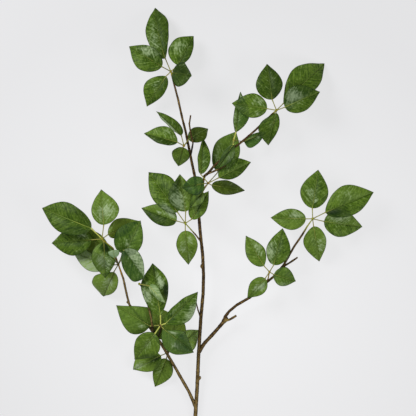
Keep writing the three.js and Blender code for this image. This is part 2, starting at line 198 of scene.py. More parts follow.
def smooth_curve(knots, points, at):
    """A natural cubic spline through points at the given knots, read at the given places."""
    step = np.diff(knots)
    last = len(knots) - 1
    system = np.eye(last + 1)
    right = np.zeros_like(points)
    for i in range(1, last):
        system[i, i - 1 : i + 2] = step[i - 1], 2 * (step[i - 1] + step[i]), step[i]
        right[i] = (points[i + 1] - points[i]) / step[i] - (points[i] - points[i - 1]) / step[i - 1]
    bend = np.linalg.solve(system, 6 * right)
    i = np.clip(np.searchsorted(knots, at) - 1, 0, last - 1)
    ahead = ((at - knots[i]) / step[i])[:, None]
    back = 1 - ahead
    straight = back * points[i] + ahead * points[i + 1]
    bowed = (back**3 - back) * bend[i] + (ahead**3 - ahead) * bend[i + 1]
    return straight + bowed * (step[i] ** 2)[:, None] / 6


def unit(vectors):
    return vectors / np.maximum(np.linalg.norm(vectors, axis=-1, keepdims=True), NO_LENGTH)


def tube(line, radii, sides):
    """A round closed tube along a line of points: its points and its faces."""
    along = unit(np.gradient(line, axis=0))
    side = unit(np.cross(along, OFF_AXIS))
    over = np.cross(side, along)
    angle = np.linspace(0, 2 * np.pi, sides, endpoint=False)[None, :, None]
    rings = line[:, None] + radii[:, None, None] * (
        np.cos(angle) * side[:, None] + np.sin(angle) * over[:, None]
    )
    faces = []
    for ring in range(len(line) - 1):
        for k in range(sides):
            a, b = ring * sides + k, ring * sides + (k + 1) % sides
            faces.append((a, b, b + sides, a + sides))
    faces.append(tuple(reversed(range(sides))))
    faces.append(tuple(range((len(line) - 1) * sides, len(line) * sides)))
    return rings.reshape(-1, 3), faces


def noise_at(points, scale, seed):
    """Smooth noise between about -1 and 1 at each point, with lumps about scale across."""
    shift = Vector([seed * step for step in NOISE_STEPS])
    return np.array([noise.noise(Vector(p) / scale + shift) for p in points])


def store(mesh, name, values):
    """Keeps one number or one vector per point of the mesh, for its material to read."""
    kind, key = ("FLOAT", "value") if values.ndim == 1 else ("FLOAT_VECTOR", "vector")
    attribute = mesh.attributes.new(name, kind, "POINT")
    attribute.data.foreach_set(key, values.astype(np.float32).ravel())


def add_piece(node, mesh, materials):
    """Puts a finished mesh into the scene, in the place of its CAD node where it has one."""
    piece = bpy.data.objects.new("fine_" + node, mesh)
    bpy.context.scene.collection.objects.link(piece)
    for material in materials:
        mesh.materials.append(material)
    mesh.polygons.foreach_set("use_smooth", [True] * len(mesh.polygons))
    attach(piece, "root")
    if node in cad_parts:
        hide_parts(node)


# Leaflets


class LeafletLines:
    """A CAD leaflet read back as lines: stalk, midrib and left and right edge, base to tip."""

    def __init__(self, node):
        solid = bmesh.new()
        solid.from_mesh(node.data)
        bmesh.ops.remove_doubles(solid, verts=solid.verts, dist=WELD * MM)
        ends = [v for v in solid.verts if len(v.link_edges) == EDGES_AT_END]
        tip = max(ends, key=lambda v: max(e.calc_length() for e in v.link_edges))
        rings = self.rings_from(tip)
        blade = rings[1 : 1 + len(RIBS_ALONG_BLADE)]
        base, *stalk, start = rings[1 + len(RIBS_ALONG_BLADE) :]
        assert len(stalk) == STALK_RINGS and len(start) == 1
        base_place = self.middle(base)
        leftward = UP.cross(tip.co - base_place)
        ribs = [self.split(ring, leftward) for ring in reversed(blade)]
        self.midrib = np.array([base_place, *(rib[1] for rib in ribs), tip.co])
        self.left = np.array([base_place, *(rib[0] for rib in ribs), tip.co])
        self.right = np.array([base_place, *(rib[2] for rib in ribs), tip.co])
        self.stalk = np.array([start[0].co, *(self.middle(r) for r in reversed(stalk)), base_place])
        solid.free()

    def moved(self, start, end, degrees, stretch):
        """The same leaflet turned and stretched about one place and carried to another."""
        turn = np.array(Matrix.Rotation(math.radians(degrees), 3, "Z").transposed())
        copy = object.__new__(LeafletLines)
        for line in ("midrib", "left", "right", "stalk"):
            setattr(copy, line, (getattr(self, line) - start) @ turn * stretch + end)
        return copy

    @staticmethod
    def rings_from(tip):
        """The solid's points in layers of neighbours, so ring by ring, from the tip."""
        rings, seen = [[tip]], {tip}
        while rings[-1]:
            ring = {e.other_vert(v) for v in rings[-1] for e in v.link_edges} - seen
            seen |= ring
            rings.append(list(ring))
        return rings[:-1]

    @staticmethod
    def middle(ring):
        return sum((v.co for v in ring), Vector()) / len(ring)

    @classmethod
    def split(cls, ring, leftward):
        """A blade ring's left edge, midrib and right edge: the midrib's two points lie closest."""
        first = ring[0]
        beside = {e.other_vert(first) for e in first.link_edges}
        across = [first, next(v for v in ring[1:] if v not in beside)]
        others = [v for v in ring if v not in across]
        thin, wide = sorted((across, others), key=lambda pair: (pair[0].co - pair[1].co).length)
        right, left = sorted(wide, key=lambda v: v.co.dot(leftward))
        return left.co.copy(), cls.middle(thin), right.co.copy()


# Where the CAD ribs stand on a scale that bunches rows up at the blade's two ends.
RIB_SHARES = np.array([0, *reversed(RIBS_ALONG_BLADE), 1])
RIB_KNOTS = np.arccos(1 - 2 * RIB_SHARES) / np.pi


def blade_mesh(lines, seed):
    """The blade as a thin veined sheet: points, faces and what its material reads."""
    length = np.linalg.norm(np.diff(lines.midrib, axis=0), axis=1).sum() / MM
    rows = round(length / ROW_STEP)
    at = np.linspace(FIRST_ROW, LAST_ROW, rows)
    along = (1 - np.cos(np.pi * at)) / 2
    midrib, left, right = (
        smooth_curve(RIB_KNOTS, line, at)[:, None] for line in (lines.midrib, lines.left, lines.right)
    )
    spread = np.linspace(-1, 1, COLUMNS + 1)
    across = (np.sign(spread) * np.abs(spread) ** COLUMN_BUNCHING)[None, :, None]
    edge = np.where(across > 0, left, right)
    edge = edge + unit(edge - midrib) * RIM_REACH * MM
    sheet = midrib + np.abs(across) * (edge - midrib)

    normal = unit(np.cross(np.gradient(sheet, axis=0), np.gradient(sheet, axis=1)))
    normal *= np.sign(normal[..., 2:].mean())
    across = across[..., 0]
    half = np.linalg.norm(edge - midrib, axis=-1) / MM
    outward = np.abs(across) * half
    travelled = along[:, None] * length
    slant = VEIN_SLANT * outward + VEIN_CURVE * outward**2
    vein = (travelled - slant) / VEIN_SPACING + VEIN_OFFSET * (across <= 0) + seed * VEIN_STEP
    relief = blade_relief(across, half, travelled, vein, seed)
    relief += SWELL * noise_at(sheet.reshape(-1, 3), SWELL_SCALE * MM, seed).reshape(relief.shape)
    taper = np.clip(along / RELIEF_AT_BASE, 0, 1) * np.clip((1 - along) / RELIEF_AT_TIP, 0, 1)
    sheet = sheet + normal * (relief * taper[:, None] * MM)[..., None]

    upper = sheet + normal * BLADE_THICKNESS / 2 * MM
    lower = sheet - normal * BLADE_THICKNESS / 2 * MM
    points = np.concatenate([upper.reshape(-1, 3), lower.reshape(-1, 3)])
    place = np.stack(np.broadcast_arrays(along[:, None], across), axis=-1).reshape(-1, 2)
    to_edge = half * (1 - np.abs(across))
    veins = np.stack([outward, vein, to_edge], axis=-1).reshape(-1, 3)
    return points, sheet_faces(rows, COLUMNS + 1), np.tile(place, (2, 1)), np.tile(veins, (2, 1)), rows


def blade_relief(across, half, travelled, vein, seed):
    """How far each point stands above the plain sheet: bulges, turned rim, furrows and rim's wave."""
    to_rim = np.abs(across)
    outward = to_rim * half
    closeness = np.abs((vein % 1) - 0.5) * 2
    fade = np.clip(1 - to_rim**VEIN_END_POWER, 0, 1) * np.clip(outward / VEIN_START, 0, 1)
    wave = 2 * np.pi * travelled / RIM_WAVELENGTH + seed * RIM_WAVE_STEP
    wave = wave + RIM_WAVE_OFFSET * (across <= 0)
    relief = ARCH * half * np.sin(np.pi * to_rim**ARCH_LEAN)
    relief -= EDGE_CURL * half * to_rim**EDGE_CURL_POWER
    relief -= MIDRIB_DEPTH * np.exp(-((outward / MIDRIB_WIDTH) ** 2))
    relief -= VEIN_DEPTH * closeness**VEIN_POWER * fade
    relief += RIM_WAVE * to_rim**RIM_WAVE_POWER * np.sin(wave)
    return relief


def rim_of(index):
    """The points of a sheet's rim, in order round it."""
    return [*index[0, :], *index[1:, -1], *index[-1, -2::-1], *index[-2:0:-1, 0]]


def sheet_faces(rows, columns):
    """Faces of a closed sheet: its upper side, its lower side and the narrow wall round them."""
    count = rows * columns
    index = np.arange(count).reshape(rows, columns)
    a, b, c, d = index[:-1, :-1], index[:-1, 1:], index[1:, 1:], index[1:, :-1]
    upper = np.stack([a, d, c, b], axis=-1).reshape(-1, 4)
    lower = np.stack([a, b, c, d], axis=-1).reshape(-1, 4) + count
    rim = rim_of(index)
    wall = [(one, two, two + count, one + count) for one, two in zip(rim, rim[1:] + rim[:1])]
    return [*map(tuple, upper), *map(tuple, lower), *wall]


def stalk_tube(lines, thickness):
    """The leaflet's stalk, which goes on as a fading rib under the blade."""
    rib_at = np.linspace(0, np.arccos(1 - 2 * RIB_REACH) / np.pi, RIB_STEPS + 1)[1:]
    rib = smooth_curve(RIB_KNOTS, lines.midrib, rib_at)
    rib_radii = RIB_THICKNESS / 2 * np.linspace(1, RIB_END_SHARE, RIB_STEPS)
    under = BLADE_THICKNESS / 2 + MIDRIB_DEPTH + RIB_DROP
    rib[:, 2] -= under * MM * np.linspace(RIB_START_SHARE, 1, RIB_STEPS)
    start, base = lines.stalk[0], lines.stalk[-1]
    inward = unit(start - base) * STALK_INTO_KNOB * MM
    shares = np.linspace(0, 1, STALK_STEPS)
    stalk = (start + inward) * (1 - shares)[:, None] + base * shares[:, None]
    ends = np.exp(-shares * STALK_END_STEEPNESS) + np.exp(-(1 - shares) * STALK_END_STEEPNESS)
    stalk_radii = thickness / 2 + STALK_END_SWELLING * ends
    return tube(np.concatenate([stalk, rib]), np.concatenate([stalk_radii, rib_radii]) * MM, STALK_SIDES)


def grow_leaflet(name, lines, seed, materials):
    """Adds one fine leaflet with its stalk, and what its materials read at each point."""
    points, faces, place, veins, rows = blade_mesh(lines, seed)
    whorl, number = name.split("_leaflet_")
    look = USUAL_LOOK | LOOKS[whorl].get(int(number), {})
    stalk_points, stalk_faces = stalk_tube(lines, STALK_THICKNESS * look["thick"])
    mesh = bpy.data.meshes.new("fine_" + name)
    shifted = [tuple(i + len(points) for i in face) for face in stalk_faces]
    mesh.from_pydata(np.concatenate([points, stalk_points]).tolist(), [], faces + shifted)
    mesh.polygons.foreach_set("material_index", [0] * len(faces) + [1] * len(stalk_faces))

    half = len(points) // 2
    shine_side = np.repeat([0.0, 1.0] if look["turned"] else [1.0, 0.0], half)
    extra = np.zeros((len(stalk_points), 3))
    store(mesh, "place", np.vstack([np.column_stack([place, shine_side]), extra]))
    store(mesh, "veins", np.vstack([veins, extra]))
    # Painted light, painted highlight and tint of each point of the blade
    tones = shading(place, look)
    store(mesh, "tones", np.vstack([tones, extra + look["stalk"]]))
    layers = np.tile(layers_below(points[:half], name), 2)
    store(mesh, "layers", np.concatenate([layers, extra[:, 0]]))
    store(mesh, "rib", np.full(len(points) + len(extra), look["rib"]))
    store(mesh, "lee", np.concatenate([lee_of_midrib(lines, place), extra[:, 0]]))
    crease_rim(mesh, rows, COLUMNS + 1)
    add_piece(name, mesh, materials)


def lee_of_midrib(lines, place):
    """Per point: 1 on the side of the midrib that is in its shade, and -1 on the side that is lit."""
    ahead = unit((lines.midrib[-1] - lines.midrib[0])[:2])
    leftward = np.array([-ahead[1], ahead[0]])
    return np.clip(place[:, 1] * LEE_STEEPNESS, -1, 1) * (leftward @ LEE)


def layers_below(points, name):
    """How many other leaves or branches lie straight under each point, which lets less light through."""
    found = np.zeros(len(points))
    for index, point in enumerate(points):
        below = {name}
        start = Vector(point)
        for _ in range(MOST_LAYERS_MET):
            place, _, face, _ = all_solids.ray_cast(start, -UP)
            if place is None:
                break
            below.add(owner_of_face[face])
            start = place - UP * (WELD * MM)
        found[index] = len(below) - 1
    return found


def shading(place, look):
    """Per point: its painted light or shade, its painted highlight, and how blue the leaf is there."""
    left = np.clip(place[:, 1] * HALVES_STEEPNESS + 0.5, 0, 1)
    light, painted_sheen = (look[key][0] * left + look[key][1] * (1 - left) for key in ("light", "painted_sheen"))
    painted_sheen = painted_sheen + soft_patches(place, look["painted_highlight"])
    light = light - soft_patches(place, look["shade"])
    return np.column_stack([light, painted_sheen, np.full(len(place), look["blue"])])


def soft_patches(place, patches):
    """The sum of some soft oval patches, each (place along, place across, size, amount)."""
    total = np.zeros(len(place))
    for along, across, size, amount in patches:
        far_along = (place[:, 0] - along) / size
        far_across = (place[:, 1] - across) / (size * PATCH_WIDENING)
        total += amount * np.exp(-(far_along**2) - far_across**2)
    return total


def crease_rim(mesh, rows, columns):
    """Keeps the sheet's rim crisp, so that smooth shading doesn't round the whole blade."""
    count = rows * columns
    rim = rim_of(np.arange(count).reshape(rows, columns))
    pairs = {frozenset(pair) for pair in zip(rim, rim[1:] + rim[:1])}
    pairs |= {frozenset(i + count for i in pair) for pair in pairs}
    sharp = [frozenset(edge.vertices) in pairs for edge in mesh.edges]
    mesh.attributes.new("sharp_edge", "BOOLEAN", "EDGE").data.foreach_set("value", sharp)


# Wood


def rounded_wood(name, stem_surface):
    """A CAD woody piece's mesh, rounded so that it flows on where it forks, and where its root is."""
    rough = bpy.data.objects.new("rough_" + name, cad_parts[name].data.copy())
    bpy.context.scene.collection.objects.link(rough)
    root = None
    if stem_surface:
        root = push_root(rough.data, stem_surface)
    remesh = rough.modifiers.new("round", "REMESH")
    remesh.mode = "VOXEL"
    remesh.voxel_size = WOOD_VOXEL * MM
    smooth = rough.modifiers.new("smooth", "SMOOTH")
    smooth.factor = SMOOTHING_STRENGTH
    smooth.iterations = SMOOTHING_ROUNDS
    dependencies = bpy.context.evaluated_depsgraph_get()
    mesh = bpy.data.meshes.new_from_object(rough.evaluated_get(dependencies))
    bpy.data.objects.remove(rough)
    mesh.name = "fine_" + name
    return mesh, root


def bark_height(name, points, root, seed):
    """How far the bark stands out at each point, with its lumps, its scars and the root's swelling."""
    thin = np.interp(points[:, 1] / MM, MAIN_STEM_THINS, (0, 1)) if name == "main_stem" else 1
    height = np.full(len(points), BARK_THICKNESS) + THIN_WOOD_BARK * thin
    for size, amount in LUMPS:
        height += amount * noise_at(points, size * MM, seed + size)
    axis = unit(points[points[:, 1].argmax()] - points[points[:, 1].argmin()])
    along = points @ axis / MM
    along += SCAR_SHIFT * np.sin(np.round(along / SCAR_SPACING) * SCAR_SCRAMBLE + seed)
    to_scar = along - np.round(along / SCAR_SPACING) * SCAR_SPACING
    height += SCAR_HEIGHT * np.exp(-((to_scar / SCAR_WIDTH) ** 2))
    if root is not None:
        from_root = np.linalg.norm(points - root, axis=1) / MM
        height += ROOT_SWELLING * np.exp(-((from_root / ROOT_SWELLING_REACH) ** 2))
    return height


def grow_wood(name, stem_surface, seed, materials):
    """Adds one fine woody piece, and what its material reads at each point."""
    mesh, root = rounded_wood(name, stem_surface)
    count = len(mesh.vertices)
    points, normals = np.zeros(count * 3), np.zeros(count * 3)
    mesh.vertices.foreach_get("co", points)
    mesh.vertices.foreach_get("normal", normals)
    points, normals = points.reshape(-1, 3), normals.reshape(-1, 3)
    young, orange = youth(points)
    height = bark_height(name, points, root, seed) * (1 - YOUNG_SMOOTHNESS * young)
    points = points + normals * (height * MM)[:, None]
    if name == "main_stem":
        in_cut = points[:, 1] < cad_low.y + CUT_DEPTH * MM
        points[in_cut, 1] = cad_low.y
    points[:, 2] = np.maximum(points[:, 2], cad_low.z)
    mesh.vertices.foreach_set("co", points.ravel())
    mesh.update()
    store(mesh, "dark", np.full(count, DARK_BARK.get(name, 0.0)))
    store(mesh, "young", young)
    store(mesh, "orange", orange)
    store(mesh, "beige", knob_closeness(name, points))
    mesh.materials.clear()
    add_piece(name, mesh, materials)


def push_root(mesh, stem_surface):
    """Moves a branch's root on into the stem that carries it, and says where the root is."""
    near = []
    for vertex in mesh.vertices:
        place, _, _, distance = stem_surface.find_nearest(vertex.co)
        if distance < ROOT_GAP * MM:
            near.append(vertex)
            vertex.co += (place - vertex.co).normalized() * ROOT_PUSH * MM
    return np.array([vertex.co for vertex in near]).mean(axis=0)


def youth(points):
    """How young the wood is at each point, from 1 at a whorl to 0, and how orange it is there."""
    closeness = np.array([
        np.clip(1 - np.linalg.norm(points - whorl_middle(whorl), axis=1) / MM / reach, 0, 1)
        for whorl, (reach, _) in YOUNG_WOOD.items()
    ])
    orange = np.array([orange for _, orange in YOUNG_WOOD.values()])
    return closeness.max(axis=0), orange[closeness.argmax(axis=0)]


def knob_closeness(name, points):
    """1 at the branch's beige knob, and 0 away from it or where there is none."""
    if name not in BEIGE_KNOB:
        return np.zeros(len(points))
    low, high = points[:, :2].min(axis=0), points[:, :2].max(axis=0)
    knob = low + (high - low) * BEIGE_KNOB[name]
    away = np.linalg.norm(points[:, :2] - knob, axis=1) / MM
    return np.clip(KNOB_STEEPNESS * (1 - away / KNOB_REACH), 0, 1)


def whorl_middle(whorl):
    """The place where a whorl's leaflets meet: the middle of where their stalks start."""
    starts = [leaf_lines[node].stalk[0] for node in leaf_nodes if node.startswith(whorl + "_leaflet")]
    return np.mean(starts, axis=0)


def solids_to_cast_at():
    """All CAD solids as one surface for rays, and the name of the node that each face is from."""
    points, faces, owners = [], [], []
    for name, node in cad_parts.items():
        faces += [tuple(index + len(points) for index in face.vertices) for face in node.data.polygons]
        owners += [name] * len(node.data.polygons)
        points += [vertex.co.copy() for vertex in node.data.vertices]
    return BVHTree.FromPolygons(points, faces), owners


def surface_of(node):
    """A CAD solid's surface, for finding the place on it that is nearest to a point."""
    return BVHTree.FromPolygons(
        [v.co for v in node.data.vertices], [tuple(p.vertices) for p in node.data.polygons]
    )


# Materials

# How far up a surface faces, from 1 for straight up, where the painted shade on a twig's flank starts and
# is full
FLANK_STARTS = 0.95
FLANK_FULL = 0.5


class Nodes:
    """Builds one material's shader from short calls."""

    def __init__(self, name):
        self.material = bpy.data.materials.new(name)
        self.material.use_nodes = True
        self.tree = self.material.node_tree
        self.shader = self.tree.nodes["Principled BSDF"]

    def feed(self, socket, value):
        """Links another node's output to a socket, or sets the socket to a plain value."""
        if isinstance(value, bpy.types.NodeSocket):
            self.tree.links.new(value, socket)
        else:
            socket.default_value = value

    def node(self, kind, inputs, **settings):
        """Adds a node with its settings, feeds its inputs and gives its outputs."""
        node = self.tree.nodes.new("ShaderNode" + kind)
        for key, value in settings.items():
            setattr(node, key, value)
        for socket, value in inputs.items():
            self.feed(node.inputs[socket], value)
        return node.outputs

    def attribute(self, name):
        """What store kept under a name."""
        return self.node("Attribute", {}, attribute_name=name)

    def parts(self, vector):
        return self.node("SeparateXYZ", {0: vector})

    def vector(self, x, y):
        """The point (x, y, 0)."""
        return self.node("CombineXYZ", {0: x, 1: y})[0]

    def math(self, operation, a, b=0.0, clamp=False):
        return self.node("Math", {0: a, 1: b}, operation=operation, use_clamp=clamp)[0]

    def share(self, value, amount, clamp=False):
        return self.math("MULTIPLY", value, amount, clamp)

    def between(self, value, low, high):
        """0 at low, 1 at high, smooth between; high may be below low."""
        inputs = dict(enumerate((value, low, high, 0.0, 1.0)))
        return self.node("MapRange", inputs, interpolation_type="SMOOTHSTEP")[0]

    def mix(self, share, a, b):
        """Colour a where the share is 0, and colour b where it is 1."""
        return self.node("Mix", {0: share, 6: a, 7: b}, data_type="RGBA", clamp_factor=True)[2]

    def patchwork(self, pattern, start, full, low, high):
        """Two colours in the patches of a pattern."""
        return self.mix(self.between(pattern, start, full), low, high)

    def tint(self, color, mask, strength, over):
        """Lays the colour over on another, as strongly as the mask and the strength say."""
        return self.mix(self.share(mask, strength), color, over)

    def lay_marks(self, color, patterns, marks):
        """Lays marks on a colour in turn, each where its pattern goes from start towards full."""
        for pattern, start, full, strength, over in marks:
            color = self.tint(color, self.between(patterns[pattern], start, full), strength, over)
        return color

    def place(self):
        """Where a point of the surface is, in metres."""
        return self.node("TexCoord", {})["Object"]

    def noise(self, scale, detail, vector=None):
        vector = self.place() if vector is None else vector
        return self.node("TexNoise", {"Vector": vector, "Scale": scale, "Detail": detail})[0]

    def painted_flank_shade(self):
        """Where painted shade goes: 1 on sides and undersides, 0 on what faces up, as the light reaches
        only a twig's upper side.
        """
        upward = self.parts(self.node("NewGeometry", {})["Normal"])[2]
        return self.between(upward, FLANK_STARTS, FLANK_FULL)

    def bump(self, height, strength, distance):
        inputs = {"Height": height, "Strength": strength, "Distance": distance * MM}
        self.feed(self.shader.inputs["Normal"], self.node("Bump", inputs)[0])

    def finish(self, color, roughness, specular):
        self.feed(self.shader.inputs["Base Color"], color)
        self.feed(self.shader.inputs["Roughness"], roughness)
        self.shader.inputs["Specular IOR Level"].default_value = specular
        return self.material


def rgb(red, green, blue):
    """A colour given as a display shows it, 0 to 255, in the linear values that shaders take."""
    shares = [channel / 255 for channel in (red, green, blue)]
    return (*(c / 12.92 if c < 0.0405 else ((c + 0.055) / 1.055) ** 2.4 for c in shares), 1)


def grey(value):
    return (value, value, value, 1)


# The leaf's colours under its marks: the value of the patches where the first colour ends, their value
# where the second is full, and the two colours.
BLADE_GREENS = (0.32, 0.66, rgb(57, 85, 13), rgb(82, 110, 26))
UNDERSIDE_GREENS = (0.4, 0.6, rgb(104, 132, 76), rgb(142, 164, 114))

# A material's marks, in the order in which they are laid on. Each is a pattern, its value where the
# mark sets in, its value where the mark is full, how strongly the mark colours there, and its colour.
BLADE_MARKS = [
    ("streaks", 0.5, 0.65, 0.7, rgb(106, 132, 46)),
    ("streaks", 0.49, 0.35, 0.8, rgb(34, 58, 6)),
    ("mottle", 0.53, 0.66, 0.56, rgb(108, 134, 48)),
    ("mottle", 0.46, 0.34, 0.56, rgb(36, 62, 8)),
    ("grain", 0.52, 0.68, 0.36, rgb(108, 132, 52)),
]
VEIN_MARKS = [
    ("near vein", 0.16, 0.42, 0.3, rgb(32, 58, 8)),
    ("near vein", 0.4, 0.5, 0.42, rgb(114, 140, 58)),
]
END_MARKS = [
    ("to edge", 1.5, 0.3, 0.75, rgb(18, 36, 4)),
    ("along", 0.93, 1.0, 0.5, rgb(30, 44, 12)),
]
UNDERSIDE_STREAKS = [
    ("streaks", 0.5, 0.62, 0.6, rgb(166, 184, 138)),
    ("streaks", 0.48, 0.36, 0.7, rgb(84, 120, 56)),
]
UNDERSIDE_VEINS = [("near vein", 0.4, 0.5, 0.4, rgb(170, 188, 120))]
UNDERSIDE_RIM = [("to edge", 1.8, 0.4, 0.6, rgb(60, 88, 30))]
BARK_MARKS = [
    ("blotches", 0.52, 0.66, 0.5, rgb(146, 122, 70)),
    ("blotches", 0.48, 0.36, 0.6, rgb(40, 26, 8)),
    ("specks", 0.55, 0.7, 0.4, rgb(146, 120, 66)),
    ("specks", 0.46, 0.34, 0.7, rgb(34, 22, 8)),
]

# Each noise: how fine it is, from coarse to fine, and how many finer layers lie on it
PATCHES = (48, 3)
STREAKS = (1, 3)
STREAKS_ACROSS_VEINS = 1.5  # how many streaks lie from one side vein to the next
STREAKS_ALONG_VEINS = 0.07  # and how many in a millimetre along them
MOTTLE = (210, 3)
GRAIN = (520, 3)
STALK_STREAKS = (160, 3)
BARK_PATCHES = (60, 4)
BARK_BLOTCHES = (130, 3)
BARK_SPECKS = (420, 3)
BARK_BUMPS = (420, 4)
HEARTWOOD = (500, 2)

VEIN_LINE = (0.4, 0.5)  # how near a side vein its raised line sets in and is full
GRAIN_BUMP = 0.5  # how much of the grain stands out
UPPER_ROUGHNESS = 0.45
UNDERSIDE_ROUGHNESS = 0.7

# How far from the midrib its crease sets in and is full, and how strongly the painted light there colours
# the leaf: painted shade in the crease on both sides, more painted shade on its shaded side, and a
# painted highlight on its lit side
CREASE = (3.0, 1.0)
CREASE_TINTS = [(0.2, rgb(28, 50, 6)), (0.55, rgb(22, 40, 4)), (0.45, rgb(124, 150, 68))]

TONE_STRENGTH = 1.6  # how strongly a look's painted light or shade colours the leaf
BLUE_STRENGTH = 0.75
UNDERSIDE_BLUE_STRENGTH = 0.8
# The pale painted highlight, which stands in for the softboxes' reflection where a leaf would be glossy
PAINTED_HIGHLIGHT_STRENGTH = 0.85
PAINTED_HIGHLIGHT_START = 1.05  # what painted sheen, streaks and mottle come to where the pale painted highlight sets in
PAINTED_HIGHLIGHT_FULL = 1.7  # and where it is full
PAINTED_HIGHLIGHT_BY_STREAKS = 1.0  # how much the streaks break up the painted highlight
PAINTED_HIGHLIGHT_BY_MOTTLE = 0.9

# To each side, the midrib's pale line reaches (RIB_LINE_END - the place along the blade) *
# RIB_LINE_TAPER, but no less than RIB_LINE_LEAST. Its colour is full within RIB_LINE_FULL.
RIB_LINE_END = 1.2
RIB_LINE_TAPER = 0.85
RIB_LINE_LEAST = 0.3
RIB_LINE_FULL = 0.1
UNDERSIDE_RIB_STRENGTH = 0.8

DIMMING = 0.38  # how much painted shade each layer below lays on the leaf, as less light shines through
MOST_DIMMED = 0.6

# How strongly the painted shade on its sides colours a stalk
STALK_FLANK_STRENGTH = 0.7

BARK_DARKENS = (-320.0, -120.0)  # from where to where along Y the bark turns dark
YOUNG_COLORS = (0.1, 0.6)  # how young the wood is where young colours set in and are full
BEIGE_STRENGTH = 0.75
# How strongly the painted shade on its sides colours the bark
BARK_FLANK_STRENGTH = 0.9
YOUNG_FLANK_LOSS = 0.4  # how much weaker the painted shade on the flank is on young wood
CUT_FACE = (0.6, 0.2)  # how far from the lower end the pale cut sets in and is full


def leaf_material():
    build = Nodes("leaf")
    along, _, shine = build.parts(build.attribute("place")["Vector"])
    outward, vein, to_edge = build.parts(build.attribute("veins")["Vector"])
    light, painted_sheen, blue = build.parts(build.attribute("tones")["Vector"])
    lee, rib_light, layers = (build.attribute(key)["Fac"] for key in ("lee", "rib", "layers"))

    # Slow patches, streaks that run with the side veins, mottling and a fine grain
    patches = build.noise(*PATCHES)
    streaks_place = build.vector(
        build.share(vein, STREAKS_ACROSS_VEINS), build.share(outward, STREAKS_ALONG_VEINS)
    )
    streaks = build.noise(*STREAKS, streaks_place)
    mottle = build.noise(*MOTTLE)
    grain = build.noise(*GRAIN)

    # 0.5 on a side vein, and 0 midway between two
    near_vein = build.math("ABSOLUTE", build.math("SUBTRACT", build.math("FRACT", vein), 0.5))
    patterns = {"streaks": streaks, "mottle": mottle, "grain": grain}
    patterns |= {"near vein": near_vein, "to edge": to_edge, "along": along}

    green = build.patchwork(patches, *BLADE_GREENS)
    green = build.lay_marks(green, patterns, BLADE_MARKS)
    # A tint that is partly the leaf's own colour and partly painted light: blue-green stands in for
    # shade, olive for light shining through a shaded leaf
    green = build.tint(green, blue, BLUE_STRENGTH, rgb(40, 78, 40))
    green = build.tint(green, blue, -BLUE_STRENGTH, rgb(90, 86, 14))
    green = build.lay_marks(green, patterns, VEIN_MARKS)

    # Painted light: darker and lighter halves and patches of painted shade, as tilt and neighbours would
    # light the leaf, and the pale painted highlight where it would be glossy
    green = build.mix(build.share(light, -TONE_STRENGTH, clamp=True), green, rgb(22, 40, 4))
    green = build.mix(build.share(light, TONE_STRENGTH, clamp=True), green, rgb(122, 150, 60))
    by_streaks = build.share(streaks, PAINTED_HIGHLIGHT_BY_STREAKS)
    by_mottle = build.share(mottle, PAINTED_HIGHLIGHT_BY_MOTTLE)
    patchy = build.math("ADD", painted_sheen, build.math("ADD", by_streaks, by_mottle))
    painted_highlight = build.between(patchy, PAINTED_HIGHLIGHT_START, PAINTED_HIGHLIGHT_FULL)
    green = build.tint(green, painted_highlight, PAINTED_HIGHLIGHT_STRENGTH, rgb(158, 176, 138))

    # Painted light at the midrib: painted shade in its crease, more on the side away from the key light,
    # a painted highlight on the side towards it, and a fine pale line, partly the midrib's own colour and
    # partly painted highlight
    crease = build.between(outward, *CREASE)
    shaded = build.share(crease, lee, clamp=True)
    lit = build.share(crease, build.share(lee, -1.0), clamp=True)
    for mask, (strength, over) in zip((crease, shaded, lit), CREASE_TINTS):
        green = build.tint(green, mask, strength, over)
    tapering = build.share(build.math("SUBTRACT", RIB_LINE_END, along), RIB_LINE_TAPER)
    rib = build.between(outward, build.math("MAXIMUM", tapering, RIB_LINE_LEAST), RIB_LINE_FULL)
    green = build.tint(green, rib, rib_light, rgb(142, 162, 74))
    green = build.lay_marks(green, patterns, END_MARKS)
    # Painted shade where other leaves or branches lie under the leaf, which lets less light shine through
    # it
    dimmed = build.math("MINIMUM", build.share(layers, DIMMING), MOST_DIMMED)
    green = build.mix(dimmed, green, rgb(14, 40, 20))

    # The underside
    pale = build.patchwork(patches, *UNDERSIDE_GREENS)
    pale = build.lay_marks(pale, patterns, UNDERSIDE_STREAKS)
    pale = build.tint(pale, blue, UNDERSIDE_BLUE_STRENGTH, rgb(160, 192, 152))
    pale = build.lay_marks(pale, patterns, UNDERSIDE_VEINS)
    pale = build.tint(pale, rib, UNDERSIDE_RIB_STRENGTH, rgb(168, 176, 74))
    pale = build.lay_marks(pale, patterns, UNDERSIDE_RIM)
    color = build.mix(shine, pale, green)

    vein_line = build.between(near_vein, *VEIN_LINE)
    streaks_and_veins = build.math("SUBTRACT", streaks, vein_line)
    height = build.math("ADD", build.share(grain, GRAIN_BUMP), streaks_and_veins)
    build.bump(height, strength=0.6, distance=0.4)
    roughness = build.mix(shine, grey(UNDERSIDE_ROUGHNESS), grey(UPPER_ROUGHNESS))
    return build.finish(color, roughness, specular=0.1)


def stalk_material():
    build = Nodes("leaf_stalk")
    ripe = build.parts(build.attribute("tones")["Vector"])[0]
    streak = build.noise(*STALK_STREAKS)
    fresh = build.mix(streak, rgb(150, 156, 58), rgb(174, 174, 92))
    old = build.mix(streak, rgb(100, 76, 28), rgb(130, 98, 44))
    color = build.mix(ripe, fresh, old)
    color = build.tint(color, ripe, -1.0, rgb(196, 204, 96))
    # Painted shade on the stalk's sides and underside, where the light from above doesn't reach
    color = build.tint(color, build.painted_flank_shade(), STALK_FLANK_STRENGTH, rgb(46, 44, 6))
    build.bump(streak, strength=0.3, distance=0.3)
    return build.finish(color, roughness=0.5, specular=0.2)


